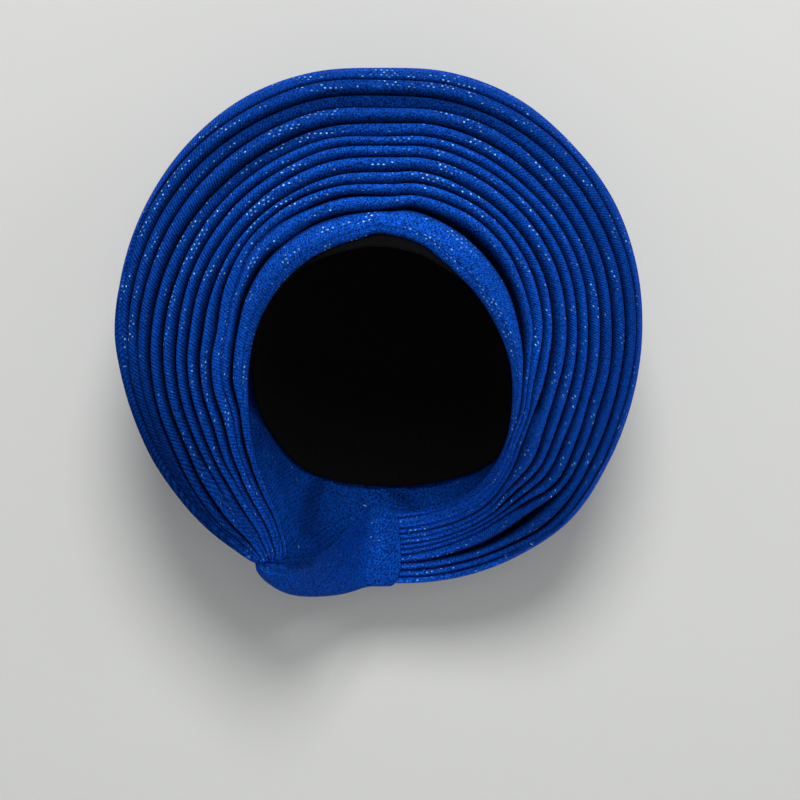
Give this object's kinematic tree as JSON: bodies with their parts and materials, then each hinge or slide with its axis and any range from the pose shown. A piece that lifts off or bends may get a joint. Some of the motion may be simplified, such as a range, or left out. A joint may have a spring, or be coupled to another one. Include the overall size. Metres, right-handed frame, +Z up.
{
  "type": "gele head tie",
  "caption": "Ready-tied gele head tie: stiff brocade in overlapping pleated rows that fan round the face and gather at the lower left, with a back cover, a nape tail and a black inner cap.",
  "frame": {"origin": "inside top of the cap, where it sits on the crown of the head", "axes": "+Z up as worn, the face opening looks along -Y, +X is the right side seen from the front"},
  "size_m": [0.2837, 0.1699, 0.2881],
  "materials": {
    "blue_brocade": "satin",
    "black_knit": "matte"
  },
  "bodies": {
    "root": {"inner_cap": "black_knit", "pleated_fan": "blue_brocade", "back_cover": "blue_brocade", "gathered_tail": "blue_brocade"}
  },
  "joints": []
}
